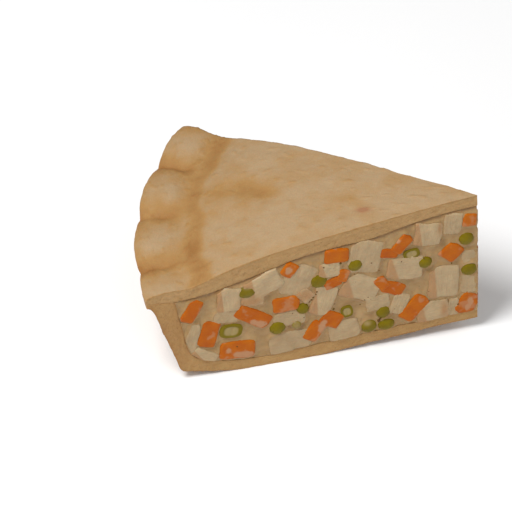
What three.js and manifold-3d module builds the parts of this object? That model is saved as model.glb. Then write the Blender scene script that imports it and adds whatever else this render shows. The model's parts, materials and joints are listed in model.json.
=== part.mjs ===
// A slice of deep chicken pie: one eighth of a round pie, cut through to the middle.
// Millimetres, +Z up. The slice points along +X and its crimped rim faces -X.
// The origin is under the middle of the slice, on the surface that it stands on.

import * as THREE from "three";
import { mergeVertices } from "three/addons/utils/BufferGeometryUtils.js";
import Module from "manifold-3d";

const wasm = await Module();
wasm.setup();

// Driving dimensions
const rimRadius = 125;
const slicesInPie = 8;
const layerGap = 0.3;

// The crimped rim: lobes pressed all round the pie, one of them centred at lobePhase
const lobesInPie = 27;
const lobePhase = THREE.MathUtils.degToRad(5.3);
const lobeStart = 105.5;
const lobeFull = 115;
const lobeRise = 1.1;
const lobeRoundness = 0.7;
const grooveDepth = 1.9;
const grooveLag = 2.5;
const edgeScallop = 1.5;
const edgeRounding = 0.55;

// The filling: the sauce stands back from the cut, the pieces in it stand out of the sauce
const sauceSetback = 0.4;
const peaProud = 1.3;
const pieceDepth = 6;
const peaDepthShare = 0.7;

// Sections of the slice as [radius from the tip, height], from the tip out to the rim
const lidTopSection = [
  [0, 65], [13, 63.6], [26, 61.9], [39, 60.1], [52, 58.2], [65, 56.1], [78, 53.6], [90, 50.5],
  [99, 47.3], [105, 44.8], [109, 43.7], [113.5, 43.5], [118, 43.3], [122, 42.5], [124.4, 41.6],
];
const lidUnderSection = [
  [0, 60], [13, 58.7], [26, 56.3], [39, 52.9], [52, 51.6], [65, 49.9], [78, 46.2], [90, 42.7],
  [99, 40.2], [105, 39.2], [109, 38.8], [113.5, 38.6], [118, 39], [122, 39.5], [124.4, 39.9],
];
const shellInnerSection = [
  [0, 9.5], [20, 8.1], [40, 7.1], [60, 5.9], [75, 4.5], [88, 4.8], [97, 6.2], [103.3, 8.4],
  [107.4, 12.2], [109.4, 18], [110.6, 25], [112.2, 32], [113.6, 37.9], [117, 38.6], [124.4, 39.4],
];
const shellOuterSection = [
  [0, 5.4], [20, 3.8], [40, 2.1], [62, 0], [76, 0], [90, 0], [99, 1.5], [106.3, 3.1],
  [111, 4.8], [113.4, 11.6], [115.8, 18.6], [118.6, 26.9], [121, 34], [122.6, 36.9], [124.4, 37.7],
];
const wallFootRow = 8;
const wallTopRow = 11;
const wallBulge = 0.5;
const wallBulgePower = 8;

// Shallow browned dimples in the lid: [distance from the tip along X, Y, reach, depth]
const lidDimples = [
  [86, 9, 6, 1],
  [78, 3, 5, 0.9],
  [96, 7, 5, 0.6],
];

// Pieces that show on the cut: [radius, height, length, width, tilt in degrees]
const carrotPieces = [
  [107.3, 32.8, 11, 5.8, 63], [100.9, 20.2, 12.8, 7.2, 76], [90.2, 10.4, 13.6, 8.6, -6],
  [84.3, 25.1, 15.5, 6.8, -37], [72, 28.5, 10.2, 7.2, 2], [70.8, 44.8, 6.6, 5.4, 55],
  [53, 47.6, 9.4, 6.5, -4], [50.6, 37.6, 6, 4.4, 72], [54.6, 34.8, 6.8, 4.8, 18],
  [55, 17.2, 8.4, 7.2, -32], [61.3, 12.9, 9.6, 6.4, 58], [28.5, 47.8, 9, 5.2, 52],
  [33.2, 44.4, 6.8, 4.6, -12], [36.2, 30.6, 6.8, 4.6, -58], [31.7, 27, 9, 6, -28],
  [24, 15.7, 12.5, 7, 52], [10, 39.8, 7.8, 7.6, 45], [3.2, 54, 5.4, 6.2, -5],
  [4, 13.2, 10.4, 8, 62],
];
const peaPieces = [
  [86.7, 37.6, 7.6, 6, -4], [92.6, 20.1, 8, 6.2, -8], [75.1, 17.5, 5.9, 5.9, 0],
  [68.1, 17.6, 3.2, 3, 0], [65.8, 24.8, 4.5, 5.3, 20], [59.7, 36.7, 6.4, 6.4, 0],
  [46.1, 41.6, 5.1, 5.4, 0], [49.2, 19.7, 4.2, 5.2, 10], [35.6, 16.2, 5.2, 5.6, 0],
  [40.9, 10.4, 5.8, 6, 0], [34.5, 9.9, 6, 5, 0], [25, 42.3, 5.8, 4.3, 10],
  [19.9, 36.8, 5, 5, 0], [4.4, 44.9, 5.4, 5.8, 0], [3.3, 29.8, 6.4, 6.2, 0],
];
const chickenPieces = [
  [93.4, 35.2, 11, 9, 86], [94.6, 27.4, 9.5, 6, -6], [107, 19.4, 13.5, 4.6, 80],
  [102.4, 10.4, 10, 4.8, -36], [80.6, 39.6, 14.5, 9.4, 26], [67.6, 39, 15, 11.6, 66],
  [71, 21.2, 12.5, 7, 0], [70.2, 9.9, 16.5, 9.6, 6], [55.6, 41.4, 8, 6.8, 0],
  [58, 27, 13.4, 8.6, 74], [42.4, 44.6, 15, 12.6, 78], [44, 30.2, 14.5, 11.4, -28],
  [50.3, 10.8, 11.5, 9.6, 12], [27.4, 35.8, 13.4, 10.5, -4], [18.8, 50.2, 10.6, 10.4, 82],
  [13, 26, 15, 11.4, 87], [3.2, 22.8, 9, 7, 85], [17, 12.5, 12.4, 9.6, 8],
  [9.4, 53.2, 9.6, 7, 86], [2.8, 36, 6.8, 6.6, 0], [29.6, 19, 9.6, 6.4, 72],
  [37.6, 21.2, 9, 7, 8], [9.5, 12.9, 8, 4.2, 85], [84.6, 33.2, 8.6, 4.8, -6],
  [64.7, 31.2, 6.4, 5.4, -50],
];

// How far a block stands out of the cut, how square its outline, how uneven its skin,
// and the faces along its sides
const blockForms = {
  carrot: { leastProud: 0.6, mostProud: 0.9, power: 6, unevenness: 0.02, segments: [2, 2, 1] },
  chicken: { leastProud: 0.4, mostProud: 0.8, power: 4, unevenness: 0.05, segments: [2, 2, 1] },
};
const frontSeed = 48860;
const backSeed = 327;
const dealReach = 9;

const halfAngle = Math.PI / slicesInPie;
const tipX = rimRadius / 2;

const lidBrown = new THREE.MeshStandardMaterial({ color: 0xb99a73, roughness: 0.75 });
const shellBrown = new THREE.MeshStandardMaterial({ color: 0xa88654, roughness: 0.8 });
const sauceCream = new THREE.MeshStandardMaterial({ color: 0xa9906f, roughness: 0.45 });
[lidBrown, shellBrown, sauceCream].forEach((material) => {
  material.flatShading = true;
});

// A closed body: shared corners joined and the flattened triangles at the tip dropped
function closeUp(geometry) {
  geometry.deleteAttribute("normal");
  geometry.deleteAttribute("uv");
  const merged = mergeVertices(geometry, 1e-3);
  const index = merged.index.array;
  const kept = [];
  for (let i = 0; i < index.length; i += 3) {
    const [a, b, c] = index.slice(i, i + 3);
    if (a !== b && b !== c && c !== a) kept.push(a, b, c);
  }
  merged.setIndex(kept);
  return merged;
}

// A box bent to a new shape: placeCorner turns its three fractions from 0 to 1 into a place
function bendBox(segments, placeCorner) {
  const geometry = new THREE.BoxGeometry(1, 1, 1, ...segments);
  const corners = geometry.getAttribute("position");
  const corner = new THREE.Vector3();
  for (let i = 0; i < corners.count; i += 1) {
    corner.fromBufferAttribute(corners, i).addScalar(0.5);
    corner.copy(placeCorner(corner.x, corner.y, corner.z));
    corners.setXYZ(i, corner.x, corner.y, corner.z);
  }
  return closeUp(geometry);
}

function sectionCurve(section) {
  return new THREE.SplineCurve(section.map(([radius, height]) => new THREE.Vector2(radius, height)));
}

// The place at a radius and angle round the tip of the slice, the angle taken from -X to +Y
function aroundTip(radius, angle, height) {
  return new THREE.Vector3(tipX - radius * Math.cos(angle), radius * Math.sin(angle), height);
}

function angleAcross(fraction) {
  return halfAngle * (1 - 2 * fraction);
}

// 1 on the crown of a lobe and 0 in the groove between two
function lobeCrown(angle) {
  const wave = Math.abs(Math.cos((lobesInPie / 2) * (angle - lobePhase)));
  return wave ** lobeRoundness;
}

function lidRelief(radius, angle) {
  const crown = lobeCrown(angle);
  const start = lobeStart + grooveLag * (1 - crown);
  const share = THREE.MathUtils.smoothstep(radius, start, lobeFull);
  let height = share * (crown * (lobeRise + grooveDepth) - grooveDepth);
  const place = aroundTip(radius, angle, 0);
  lidDimples.forEach(([along, across, reach, depth]) => {
    const distance = Math.hypot(place.x - (tipX - along), place.y - across);
    height -= depth * Math.exp(-((distance / reach) ** 2));
  });
  return height;
}

// How far the rim draws in at a groove, growing from nothing at the start of the lobes
function rimDrawIn(radius, angle) {
  const share = THREE.MathUtils.smoothstep(radius, lobeFull, rimRadius);
  return edgeScallop * share * (1 - lobeCrown(angle));
}

function buildLid() {
  const under = sectionCurve(lidUnderSection);
  const top = sectionCurve(lidTopSection);
  return bendBox([28, 26, 2], (along, across, up) => {
    const angle = angleAcross(across);
    const low = under.getPoint(along);
    const high = top.getPoint(along);
    const relief = lidRelief(high.x, angle);
    const height = low.y + (high.y + relief - low.y) * up;
    const bulge = along === 1 ? edgeRounding * 4 * up * (1 - up) : 0;
    const radius = low.x + (high.x - low.x) * up - rimDrawIn(high.x, angle) + bulge;
    return aroundTip(radius, angle, height);
  });
}

function buildShell() {
  const outer = sectionCurve(shellOuterSection);
  const inner = sectionCurve(shellInnerSection);
  return bendBox([28, 14, 1], (along, across, inward) => {
    const angle = angleAcross(across);
    const place = outer.getPoint(along).lerp(inner.getPoint(along), inward);
    const radius = place.x - rimDrawIn(place.x, angle);
    return aroundTip(radius, angle, Math.max(place.y, 0));
  });
}

// The room between the crusts, with both cut faces moved in by setback (or out, below 0)
function fillingRoom(segments, setback) {
  const floorRows = shellInnerSection.slice(0, wallFootRow + 1);
  const roofRows = lidUnderSection.slice(0, wallTopRow + 1);
  const floor = sectionCurve(floorRows);
  const roof = sectionCurve(roofRows);
  const shift = setback / Math.sin(halfAngle);
  return bendBox(segments, (along, across, up) => {
    const angle = angleAcross(across);
    const low = floor.getPoint(along).add(new THREE.Vector2(-layerGap * along, layerGap));
    const high = roof.getPoint(along).add(new THREE.Vector2(-layerGap * along, -layerGap));
    const place = low.lerp(high, up);
    const radius = place.x + wallBulge * along ** wallBulgePower * 4 * up * (1 - up);
    const reach = Math.sqrt(Math.max(radius ** 2 - (shift * Math.sin(angle)) ** 2, 0));
    const inPlan = Math.max(reach - shift * Math.cos(angle), 0);
    return aroundTip(inPlan, angle, place.y).setX(tipX - shift - inPlan * Math.cos(angle));
  });
}

// A block with rounded corners and an uneven skin: a low power is round, a high one square
function lumpyBlock(length, width, { power, unevenness, segments }, seed) {
  const halfSize = new THREE.Vector3(length, width, pieceDepth).divideScalar(2);
  return bendBox(segments, (a, b, c) => {
    const place = new THREE.Vector3(a, b, c).multiplyScalar(2).subScalar(1);
    const powers = place.toArray().map((value) => Math.abs(value) ** power);
    const spread = powers[0] + powers[1] + powers[2];
    place.divideScalar(spread ** (1 / power));
    const lump = Math.sin(3 * place.x + seed) + Math.cos(3 * place.y - 2 * seed);
    return place.multiplyScalar(1 + unevenness * lump).multiply(halfSize);
  });
}

function buildPea(length, width) {
  const depth = peaDepthShare * (length + width) / 2;
  return closeUp(new THREE.IcosahedronGeometry(0.5, 1)).scale(length, width, depth);
}

// Sets a piece into a cut face (side is -1 in front, 1 behind), standing proud of the crusts
function setInCut(geometry, side, radius, height, tilt, proud) {
  const outwards = new THREE.Vector3(Math.sin(halfAngle), side * Math.cos(halfAngle), 0);
  const level = new THREE.Vector3(0, 0, 1).cross(outwards);
  const facing = new THREE.Matrix4().makeBasis(level, new THREE.Vector3(0, 0, 1), outwards);
  geometry.computeBoundingBox();
  const sunk = proud - geometry.boundingBox.max.z;
  geometry.rotateZ(tilt);
  geometry.translate(0, 0, sunk);
  geometry.applyMatrix4(facing);
  const place = aroundTip(radius, side * halfAngle, height);
  return geometry.translate(place.x, place.y, place.z);
}

// The same draws on every run
function seededDraws(seed) {
  let state = seed;
  return () => {
    state = (state * 1664525 + 1013904223) % 2 ** 32;
    return state / 2 ** 32;
  };
}

function allPieces() {
  const blocks = (kind, list) => list.map(([radius, height, length, width, tilt]) => (
    { kind, radius, height, length, width, tilt }
  ));
  return [
    ...blocks("carrot", carrotPieces),
    ...blocks("chicken", chickenPieces),
    ...blocks("pea", peaPieces),
  ];
}

// The back cut has the same pieces dealt out again: each takes the place of one near its own size
function dealAgain(pieces, draw) {
  const area = (piece) => piece.length * piece.width;
  const places = [...pieces].sort((one, other) => area(other) - area(one));
  const dealt = [...places];
  for (let i = 0; i < dealt.length; i += 1) {
    const other = Math.min(dealt.length - 1, i + Math.floor(draw() * dealReach));
    [dealt[i], dealt[other]] = [dealt[other], dealt[i]];
  }
  return places.map(({ radius, height, tilt }, i) => ({ ...dealt[i], radius, height, tilt }));
}

function cutPieces(side) {
  const draw = seededDraws(side > 0 ? backSeed : frontSeed);
  const pieces = side > 0 ? dealAgain(allPieces(), draw) : allPieces();
  return pieces.map(({ kind, radius, height, length, width, tilt }, i) => {
    const turn = -side * THREE.MathUtils.degToRad(tilt);
    const chance = draw();
    if (kind === "pea") return setInCut(buildPea(length, width), side, radius, height, turn, peaProud);
    const form = blockForms[kind];
    const proud = THREE.MathUtils.lerp(form.leastProud, form.mostProud, chance);
    return setInCut(lumpyBlock(length, width, form, i), side, radius, height, turn, proud);
  });
}

function toSolid(geometry) {
  return new wasm.Manifold(new wasm.Mesh({
    numProp: 3,
    vertProperties: Float32Array.from(geometry.getAttribute("position").array),
    triVerts: Uint32Array.from(geometry.index.array),
  }));
}

function toGeometry(solid) {
  const { vertProperties, triVerts } = solid.getMesh();
  const geometry = new THREE.BufferGeometry();
  geometry.setAttribute("position", new THREE.BufferAttribute(vertProperties, 3));
  geometry.setIndex(new THREE.BufferAttribute(triVerts, 1));
  return geometry;
}

// The sauce with chicken, carrots and peas fused on where they show at the two cut faces
function buildFilling() {
  const sauce = toSolid(fillingRoom([16, 4, 4], sauceSetback));
  const room = toSolid(fillingRoom([16, 4, 4], -peaProud));
  const behindTip = toSolid(closeUp(new THREE.BoxGeometry(rimRadius, rimRadius, rimRadius)));
  const pieces = [-1, 1].flatMap(cutPieces).map(toSolid);
  const together = pieces.reduce((sum, piece) => sum.add(piece));
  return toGeometry(sauce.add(together.intersect(room).intersect(behindTip)));
}

function namedMesh(name, geometry, material) {
  const mesh = new THREE.Mesh(geometry, material);
  mesh.name = name;
  return mesh;
}

const slice = new THREE.Group();
slice.name = "chicken_pie_slice";
slice.add(
  namedMesh("bottom_crust", buildShell(), shellBrown),
  namedMesh("filling", buildFilling(), sauceCream),
  namedMesh("top_crust", buildLid(), lidBrown),
);

export default slice;
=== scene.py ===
import json
import math

import bpy
import numpy as np
from mathutils import Matrix, Vector
from mathutils.bvhtree import BVHTree

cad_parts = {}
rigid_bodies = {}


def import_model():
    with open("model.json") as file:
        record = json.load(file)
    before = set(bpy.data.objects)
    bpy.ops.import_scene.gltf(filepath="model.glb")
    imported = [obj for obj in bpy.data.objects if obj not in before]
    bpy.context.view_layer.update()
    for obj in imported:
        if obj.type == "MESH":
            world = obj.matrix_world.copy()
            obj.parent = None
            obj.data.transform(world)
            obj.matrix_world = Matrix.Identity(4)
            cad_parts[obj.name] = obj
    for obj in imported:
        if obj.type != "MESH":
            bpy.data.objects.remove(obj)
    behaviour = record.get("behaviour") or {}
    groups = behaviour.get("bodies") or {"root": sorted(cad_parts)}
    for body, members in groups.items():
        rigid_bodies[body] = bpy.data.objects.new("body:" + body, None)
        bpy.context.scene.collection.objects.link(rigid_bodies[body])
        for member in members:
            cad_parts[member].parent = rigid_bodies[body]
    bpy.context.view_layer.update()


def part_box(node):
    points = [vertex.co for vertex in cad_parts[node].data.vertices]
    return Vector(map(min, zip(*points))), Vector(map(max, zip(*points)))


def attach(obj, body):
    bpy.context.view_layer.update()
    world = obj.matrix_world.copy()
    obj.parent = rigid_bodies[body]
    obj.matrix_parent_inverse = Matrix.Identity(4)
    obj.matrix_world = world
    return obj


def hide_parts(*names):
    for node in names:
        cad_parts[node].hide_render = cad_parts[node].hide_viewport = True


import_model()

mm = 0.001

# places shared by all pieces, read from the frame: the tip of the slice and the size of the rim
lidLow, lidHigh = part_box("top_crust")
tip = Vector((lidHigh.x, 0, 0))
rimRadius = lidHigh.x - lidLow.x
halfAngle = math.radians(22.5)
tipTrim = 0.25 * mm


def linear(red, green, blue):
    # a screen colour from 0 to 255 as a linear colour
    def channel(value):
        share = value / 255
        return share / 12.92 if share <= 0.04045 else ((share + 0.055) / 1.055) ** 2.4
    return (channel(red), channel(green), channel(blue), 1)


# small helpers for node trees

def feed(tree, node, inputs):
    # links sockets, sets plain values and leaves alone what is None
    for name, value in inputs.items():
        if isinstance(value, bpy.types.NodeSocket):
            tree.links.new(value, node.inputs[name])
        elif value is not None:
            node.inputs[name].default_value = value
    return node


def put(tree, kind, inputs=None, **settings):
    node = tree.nodes.new(kind)
    for name, value in settings.items():
        setattr(node, name, value)
    return feed(tree, node, inputs or {})


def calc(tree, operation, *values, clamp=False):
    node = put(tree, "ShaderNodeMath", dict(enumerate(values)), operation=operation, use_clamp=clamp)
    return node.outputs[0]


def product(tree, total, *values):
    for value in values:
        total = calc(tree, "MULTIPLY", total, value)
    return total


def vectorCalc(tree, operation, *values):
    node = put(tree, "ShaderNodeVectorMath", dict(enumerate(values)), operation=operation)
    return node.outputs["Value" if operation == "LENGTH" else "Vector"]


def scaled(tree, vector, amount):
    return put(tree, "ShaderNodeVectorMath", {0: vector, "Scale": amount}, operation="SCALE").outputs[0]


def vectorOf(tree, x=None, y=None, z=None):
    return put(tree, "ShaderNodeCombineXYZ", {0: x, 1: y, 2: z}).outputs[0]


def ramp(tree, value, low, high, toLow=0.0, toHigh=1.0, smooth=True):
    kind = "SMOOTHSTEP" if smooth else "LINEAR"
    inputs = {"Value": value, "From Min": low, "From Max": high, "To Min": toLow, "To Max": toHigh}
    return put(tree, "ShaderNodeMapRange", inputs, interpolation_type=kind).outputs[0]


def noiseAt(tree, place, scale, detail=2.0, roughness=0.5):
    inputs = {"Vector": place, "Scale": scale, "Detail": detail, "Roughness": roughness}
    return put(tree, "ShaderNodeTexNoise", inputs).outputs[0]


def centred(tree, noise):
    return calc(tree, "SUBTRACT", noise, 0.5)


def mixColours(tree, factor, first, second):
    return put(tree, "ShaderNodeMix", {"Factor": factor, 6: first, 7: second}, data_type="RGBA").outputs[2]


def startTree(name, kind, inputs, outputs):
    # the names of the sockets are listed by their form
    tree = bpy.data.node_groups.new(name, kind)
    for way, sockets in (("INPUT", inputs), ("OUTPUT", outputs)):
        for form, labels in sockets.items():
            for label in labels:
                tree.interface.new_socket(label, in_out=way, socket_type="NodeSocket" + form)
    return tree, put(tree, "NodeGroupInput").outputs, put(tree, "NodeGroupOutput")


def startRelief(name, **inputs):
    shared = {"Geometry": ["Geometry"], "Material": ["Material"]}
    return startTree(name, "GeometryNodeTree", {**shared, **inputs}, {"Geometry": ["Geometry"]})


def moveBy(tree, geometry, offset):
    return put(tree, "GeometryNodeSetPosition", {"Geometry": geometry, "Offset": offset}).outputs[0]


def endRelief(tree, given, out, geometry):
    real = put(tree, "GeometryNodeRealizeInstances", {"Geometry": geometry}).outputs[0]
    finished = put(tree, "GeometryNodeSetMaterial", {"Geometry": real, "Material": given["Material"]})
    feed(tree, out, {"Geometry": finished.outputs[0]})
    return tree


def readAttribute(tree, name, form="FLOAT"):
    return put(tree, "GeometryNodeInputNamedAttribute", {"Name": name}, data_type=form).outputs[0]


def storeAttribute(tree, geometry, name, value):
    inputs = {"Geometry": geometry, "Name": name, "Value": value}
    return put(tree, "GeometryNodeStoreNamedAttribute", inputs, data_type="FLOAT", domain="POINT").outputs[0]


def addPiece(name, mesh):
    mesh.name = name
    piece = bpy.data.objects.new(name, mesh)
    bpy.context.scene.collection.objects.link(piece)
    return piece


def applyModifiers(piece):
    # keeps what the modifiers give as the piece's own plain mesh
    bpy.context.view_layer.update()
    shown = piece.evaluated_get(bpy.context.evaluated_depsgraph_get())
    mesh, old = bpy.data.meshes.new_from_object(shown), piece.data
    piece.modifiers.clear()
    piece.data = mesh
    bpy.data.meshes.remove(old)
    mesh.name = piece.name


def bakeTree(piece, tree, values):
    modifier = piece.modifiers.new("nodes", "NODES")
    modifier.node_group = tree
    for item in tree.interface.items_tree:
        if item.item_type == "SOCKET" and item.in_out == "INPUT" and item.name in values:
            modifier[item.identifier] = values[item.name]
    piece.update_tag()
    applyModifiers(piece)
    return piece


def softenEdges(piece, rounds):
    # rounds the sharp edges of a cut a little, as crust crumbles and sauce sags there
    modifier = piece.modifiers.new("soften", "SMOOTH")
    modifier.factor = 0.5
    modifier.iterations = rounds
    applyModifiers(piece)


# bent boxes: a fine box whose corners are sent to new places

def boxLattice(counts):
    across, deep, high = counts
    surface = np.zeros((across + 1, deep + 1, high + 1), bool)
    surface[[0, -1]] = True
    surface[:, [0, -1]] = True
    surface[:, :, [0, -1]] = True
    ids = np.full(surface.shape, -1)
    ids[surface] = np.arange(surface.sum())
    fractions = np.argwhere(surface) / np.array(counts)

    def quads(grid, turned):
        corners = [grid[:-1, :-1], grid[1:, :-1], grid[1:, 1:], grid[:-1, 1:]]
        if turned:
            corners.reverse()
        return np.stack(corners, axis=-1).reshape(-1, 4)

    faces = np.concatenate([
        quads(ids[0], True), quads(ids[-1], False),
        quads(ids[:, 0], False), quads(ids[:, -1], True),
        quads(ids[:, :, 0], True), quads(ids[:, :, -1], False),
    ])
    return fractions, faces


def setAttribute(mesh, label, values, form="FLOAT", key="value"):
    values = np.ravel(values).astype(np.int32 if form == "INT" else np.float32)
    mesh.attributes.new(label, form, "POINT").data.foreach_set(key, values)


def vertexPlaces(mesh):
    places = np.zeros(len(mesh.vertices) * 3, np.float32)
    mesh.vertices.foreach_get("co", places)
    return places.reshape(-1, 3)


def meshFrom(name, places, faces, attributes):
    mesh = bpy.data.meshes.new(name)
    mesh.from_pydata(places.tolist(), [], faces.tolist())
    for label, values in attributes.items():
        setAttribute(mesh, label, values)
    mesh.shade_smooth()
    return mesh


def alongSection(section, share):
    # a smooth curve through the section's rows, by share from 0 to 1 of their number
    rows = np.array(section, float) * mm
    last = len(rows) - 1
    step = np.minimum(np.floor(share * last).astype(int), last - 1)
    part = (share * last - step)[:, None]
    before, here = rows[np.maximum(step - 1, 0)], rows[step]
    after, beyond = rows[step + 1], rows[np.minimum(step + 2, last)]
    rise, nextRise = (after - before) / 2, (beyond - here) / 2
    return ((2 * here - 2 * after + rise + nextRise) * part ** 3
            + (-3 * here + 3 * after - 2 * rise - nextRise) * part ** 2 + rise * part + here)


def aroundTip(radius, angle, height):
    return np.stack([tip.x - radius * np.cos(angle), radius * np.sin(angle), height], axis=-1)


def angleAcross(share):
    return halfAngle * (1 - 2 * share)


def cutSides(across):
    # 1 on the back cut, -1 on the front cut and 0 between them
    return np.where(across == 0, 1.0, np.where(across == 1, -1.0, 0.0))


def outOfCut(side):
    return Vector((math.sin(halfAngle), side * math.cos(halfAngle), 0))


def outOfCutNodes(tree, turn, cut):
    return vectorOf(tree, calc(tree, "SINE", turn), product(tree, cut, calc(tree, "COSINE", turn)))


# shader groups used by more than one material

toneOutputs = {"Color": ["Color"], "Float": ["Roughness", "Height"]}
pastryPattern = {
    "patches": 170.0, "broad": 75.0, "middle": 420.0, "fine": 2100.0, "pits": 1100.0,  # noise cells per metre
    "patchTone": 0.4, "broadTone": 1.6, "middleTone": 0.55, "pitTone": 0.2,
    "middleHeight": 0.5, "fineHeight": 0.35, "pitHeight": -0.45,
}
moistPattern = {"fineTimes": 5.0, "broadTone": 1.6, "fineTone": 0.5, "fineHeight": 0.5}


def pastryGroup():
    # browned pastry: tone from a mask of browning and, on the lid, painted shade, with mottling, fine grain
    # and pits
    tree, given, out = startTree("pastryTone", "ShaderNodeTree", {
        "Float": ["Browning", "Mottle", "Pits"], "Color": ["Pale", "Golden", "Brown"]}, toneOutputs)
    look = pastryPattern
    place = put(tree, "ShaderNodeTexCoord").outputs["Object"]
    pits = ramp(tree, noiseAt(tree, place, look["pits"], 3.0, 0.65), 0.55, 0.68)
    pits = product(tree, pits, given["Pits"])
    patches = ramp(tree, noiseAt(tree, place, look["patches"]), 0.36, 0.64, -0.5, 0.5)
    broad = noiseAt(tree, place, look["broad"], 3.0)
    middle = noiseAt(tree, place, look["middle"], 3.0, 0.6)
    fine = noiseAt(tree, place, look["fine"], 2.0, 0.6)
    mottle = calc(tree, "ADD", product(tree, centred(tree, broad), look["broadTone"]),
                  product(tree, centred(tree, middle), look["middleTone"]))
    mottle = calc(tree, "MULTIPLY_ADD", patches, look["patchTone"], mottle)
    tone = calc(tree, "MULTIPLY_ADD", mottle, given["Mottle"], given["Browning"])
    tone = calc(tree, "MULTIPLY_ADD", pits, look["pitTone"], tone)
    colour = mixColours(tree, ramp(tree, tone, 0.0, 0.5, smooth=False), given["Pale"], given["Golden"])
    colour = mixColours(tree, ramp(tree, tone, 0.5, 1.0, smooth=False), colour, given["Brown"])
    height = calc(tree, "ADD", product(tree, middle, look["middleHeight"]),
                  product(tree, fine, look["fineHeight"]))
    feed(tree, out, {
        "Color": scaled(tree, colour, ramp(tree, fine, 0.3, 0.7, 0.93, 1.05, smooth=False)),
        "Roughness": ramp(tree, middle, 0.3, 0.7, 0.84, 0.66),
        "Height": calc(tree, "MULTIPLY_ADD", pits, look["pitHeight"], height)})
    return tree


def moistGroup():
    # cooked, creamy surfaces: two tones, a wet sheen that comes and goes
    tree, given, out = startTree("moistTone", "ShaderNodeTree", {
        "Float": ["Tint", "Patch Size", "Wet", "Dry"], "Color": ["Dark", "Light"]}, toneOutputs)
    look = moistPattern
    place = put(tree, "ShaderNodeTexCoord").outputs["Object"]
    scale = calc(tree, "DIVIDE", 1000.0, given["Patch Size"])  # the patches are in mm
    broad = noiseAt(tree, place, scale)
    fine = noiseAt(tree, place, product(tree, scale, look["fineTimes"]), 3.0, 0.6)
    tone = calc(tree, "MULTIPLY_ADD", centred(tree, broad), look["broadTone"], given["Tint"])
    tone = calc(tree, "MULTIPLY_ADD", centred(tree, fine), look["fineTone"], tone, clamp=True)
    feed(tree, out, {
        "Color": mixColours(tree, tone, given["Dark"], given["Light"]),
        "Roughness": ramp(tree, broad, 0.35, 0.65, given["Wet"], given["Dry"]),
        "Height": calc(tree, "MULTIPLY_ADD", fine, look["fineHeight"], broad)})
    return tree


pastryTone = pastryGroup()
moistTone = moistGroup()


def surface(inside, depth, shine):
    # the share of light that goes in, how many mm deep it goes, and the shine
    return {"Subsurface Weight": inside, "Subsurface Scale": depth * mm, "Specular IOR Level": shine}


def startMaterial(name, fixed):
    material = bpy.data.materials.new(name)
    material.use_nodes = True
    tree = material.node_tree
    return material, tree, feed(tree, tree.nodes["Principled BSDF"], fixed)


def finishMaterial(tree, shader, colour, tone, bump, height=None):
    depth, strength = bump
    height = tone.outputs["Height"] if height is None else height
    normal = put(tree, "ShaderNodeBump", {"Height": height, "Distance": depth * mm, "Strength": strength})
    feed(tree, shader, {
        "Base Color": colour, "Roughness": tone.outputs["Roughness"], "Normal": normal.outputs[0]})


def attributeValue(tree, name):
    return put(tree, "ShaderNodeAttribute", attribute_name=name).outputs["Fac"]


# the two crusts

crustShape = {
    "lidTop": [
        [0, 65], [13, 63.6], [26, 61.9], [39, 60.1], [52, 58.2], [65, 56.1], [78, 53.6], [90, 50.5],
        [99, 47.3], [105, 44.8], [109, 43.7], [113.5, 43.5], [118, 43.3], [122, 42.5], [124.2, 41.5]],
    "lidUnder": [
        [0, 60], [13, 58.7], [26, 56.3], [39, 52.9], [52, 51.6], [65, 49.9], [78, 46.2], [90, 42.7],
        [99, 40.2], [105, 39.2], [109, 38.8], [113.5, 38.6], [118, 39], [122, 39.4], [124.2, 39.7]],
    "shellInner": [
        [0, 9.5], [20, 8.1], [40, 7.1], [60, 5.9], [75, 4.5], [88, 4.8], [97, 6.2], [103.3, 8.4],
        [107.4, 12.2], [109.4, 18], [110.6, 25], [112.2, 32], [113.6, 38.3], [117, 38.95], [124.2, 39.75]],
    "shellOuter": [
        [0, 5.4], [20, 3.8], [40, 2.1], [62, 0], [76, 0], [90, 0], [99, 1.5], [106.3, 3.1],
        [111, 4.8], [113.4, 11.6], [115.8, 18.6], [118.6, 26.9], [121, 34], [122.6, 36.9], [124.2, 37.9]],
    "lidGrid": (230, 150, 18),
    "shellGrid": (210, 100, 14),
    "edgeRounding": 0.6,
}

# browned places on the lid: distance from the tip, place across, half length, half width, strength
lidBrownPlaces = [
    (87, 9.8, 6.5, 3.8, 0.36), (79, 3.8, 7, 3.8, 0.38), (83, 6.5, 5, 4, 0.24), (96, 7, 7, 4.5, 0.25),
    (97, -5, 4.5, 5, 0.18), (112, 43.5, 6, 3.5, 0.15), (113.6, 14.8, 3, 2.5, 0.12),
    (108, -18.5, 3, 3.5, 0.12), (101.5, -22, 4, 8, 0.3), (100, 34, 4, 8, 0.25), (98, -36, 3, 5, 0.15),
    (47, -4, 9, 7, 0.14), (30, 9, 7, 4, 0.14), (92, 4, 9, 10, 0.16), (72, 10, 9, 6, 0.1),
    (52, 0, 6, 6, 0.12), (117, -30, 6, 4, 0.15), (119, 25, 5, 4, 0.12),
]
# pale places on the lid, listed like the browned ones; those from 111 mm out, on the rim's lobes, are painted
# highlight
lidPalePlaces = [
    (71, -6, 2.4, 2.4, 0.3), (66, -10, 1.8, 1.6, 0.25), (87, -16, 1.6, 2.2, 0.25), (56, 9, 2.2, 2, 0.25),
    (70, 28, 2.6, 1.6, 0.25), (34, -3, 6, 5, 0.12), (82, 22, 9, 7, 0.12), (76, -14, 14, 7, 0.14),
    (64, 4, 7, 5, 0.1), (112, 34, 5, 5, 0.22), (113, 8, 5, 5, 0.2), (116, -15, 5, 5, 0.22),
    (117, -22, 3, 3, 0.15), (111, -43, 6, 4, 0.22),
]
lidFleck = (41, -7.6, 2.2, 1.3, 1.7)
lidDimples = [(86, 9, 6, 6, 1.0), (78, 3, 5, 5, 0.9), (96, 7, 5, 5, 0.6)]

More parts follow.
